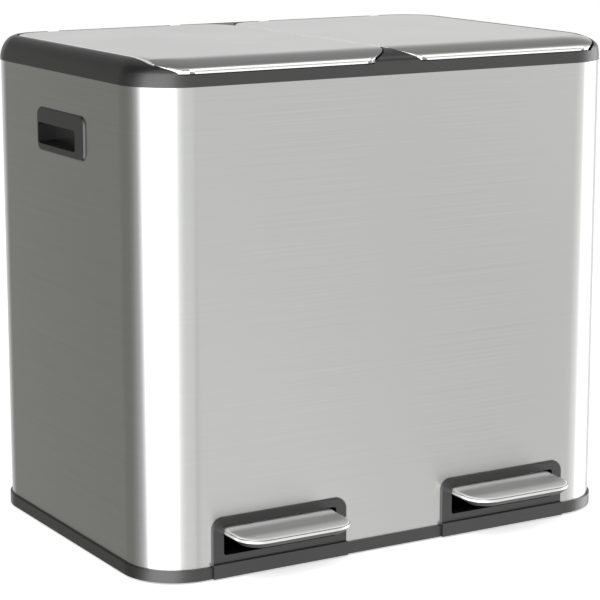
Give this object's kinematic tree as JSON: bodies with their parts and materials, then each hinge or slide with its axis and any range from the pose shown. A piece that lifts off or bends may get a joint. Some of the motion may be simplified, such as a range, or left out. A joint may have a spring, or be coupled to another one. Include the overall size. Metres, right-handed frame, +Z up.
{
  "type": "double pedal recycling bin",
  "caption": "Wide upright pedal bin in brushed steel with black trim; each pedal lifts its own flat lid, over a lift-out bucket, by a lever, a rod and a crank.",
  "frame": {"origin": "on the floor, in the middle of the steel body's footprint", "axes": "+X along the width to the right as seen from the front, +Y from front to back, +Z up"},
  "size_m": [0.494, 0.379, 0.45],
  "materials": {
    "brushed_steel": "satin, brushed level",
    "zinc_steel": "zinc plated",
    "black_plastic": "satin black",
    "bucket_plastic": "fine grain, dark grey",
    "white_plastic": "natural",
    "aluminium": "drawn tube",
    "rubber": "matt"
  },
  "bodies": {
    "housing": {"steel_body": "brushed_steel", "seam_strip": "brushed_steel", "base_tray": "black_plastic", "rubber_feet": "rubber", "top_rim": "black_plastic", "rim_screws": "zinc_steel", "base_screws": "zinc_steel", "lever_stops": "rubber", "pedal_bezel_left": "black_plastic", "handle_cup_left": "black_plastic", "inner_bucket_left": "bucket_plastic", "rod_channel_left": "black_plastic", "damper_cylinder_left": "aluminium", "lever_pin_left": "zinc_steel", "hinge_pins_left": "zinc_steel", "pedal_bezel_right": "black_plastic", "handle_cup_right": "black_plastic", "inner_bucket_right": "bucket_plastic", "rod_channel_right": "black_plastic", "damper_cylinder_right": "aluminium", "lever_pin_right": "zinc_steel", "hinge_pins_right": "zinc_steel"},
    "pedal_left": {"pedal_lever_left": "zinc_steel", "pedal_pad_left": "black_plastic", "pedal_cover_left": "brushed_steel", "pedal_rivets_left": "zinc_steel", "lever_saddle_left": "white_plastic"},
    "rod_left": {"lift_rod_left": "zinc_steel", "rod_head_left": "white_plastic", "rod_foot_left": "white_plastic", "damper_piston_left": "zinc_steel", "damper_clamp_left": "black_plastic"},
    "lid_left": {"lid_skin_left": "brushed_steel", "lid_liner_left": "black_plastic", "lid_crank_left": "zinc_steel", "lid_bumpers_left": "rubber", "lid_screws_left": "zinc_steel"},
    "pedal_right": {"pedal_lever_right": "zinc_steel", "pedal_pad_right": "black_plastic", "pedal_cover_right": "brushed_steel", "pedal_rivets_right": "zinc_steel", "lever_saddle_right": "white_plastic"},
    "rod_right": {"lift_rod_right": "zinc_steel", "rod_head_right": "white_plastic", "rod_foot_right": "white_plastic", "damper_piston_right": "zinc_steel", "damper_clamp_right": "black_plastic"},
    "lid_right": {"lid_skin_right": "brushed_steel", "lid_liner_right": "black_plastic", "lid_crank_right": "zinc_steel", "lid_bumpers_right": "rubber", "lid_screws_right": "zinc_steel"}
  },
  "joints": [
    {"name": "pedal_left_hinge", "type": "hinge", "parent": "housing", "child": "pedal_left", "pos_m": [-0.119, -0.067, 0.0282], "axis": [1, 0, 0], "range_deg": [0, 7.91]},
    {"name": "rod_left_slide", "type": "slide", "parent": "housing", "child": "rod_left", "axis": [0, 0, 1], "range_m": [0, 0.02829]},
    {"name": "lid_left_hinge", "type": "hinge", "parent": "housing", "child": "lid_left", "pos_m": [-0.11475, 0.157, 0.4462], "axis": [-1, 0, 0], "range_deg": [0, 80.01]},
    {"name": "pedal_right_hinge", "type": "hinge", "parent": "housing", "child": "pedal_right", "pos_m": [0.119, -0.067, 0.0282], "axis": [1, 0, 0], "range_deg": [0, 7.91]},
    {"name": "rod_right_slide", "type": "slide", "parent": "housing", "child": "rod_right", "axis": [0, 0, 1], "range_m": [0, 0.02829]},
    {"name": "lid_right_hinge", "type": "hinge", "parent": "housing", "child": "lid_right", "pos_m": [0.11475, 0.157, 0.4462], "axis": [-1, 0, 0], "range_deg": [0, 80.01]}
  ],
  "couplings": [
    {"joint": "rod_left_slide", "follows": "pedal_left_hinge", "m_per_rad": 0.20489},
    {"joint": "lid_left_hinge", "follows": "pedal_left_hinge", "ratio": 10.115},
    {"joint": "rod_right_slide", "follows": "pedal_right_hinge", "m_per_rad": 0.20489},
    {"joint": "lid_right_hinge", "follows": "pedal_right_hinge", "ratio": 10.115}
  ]
}
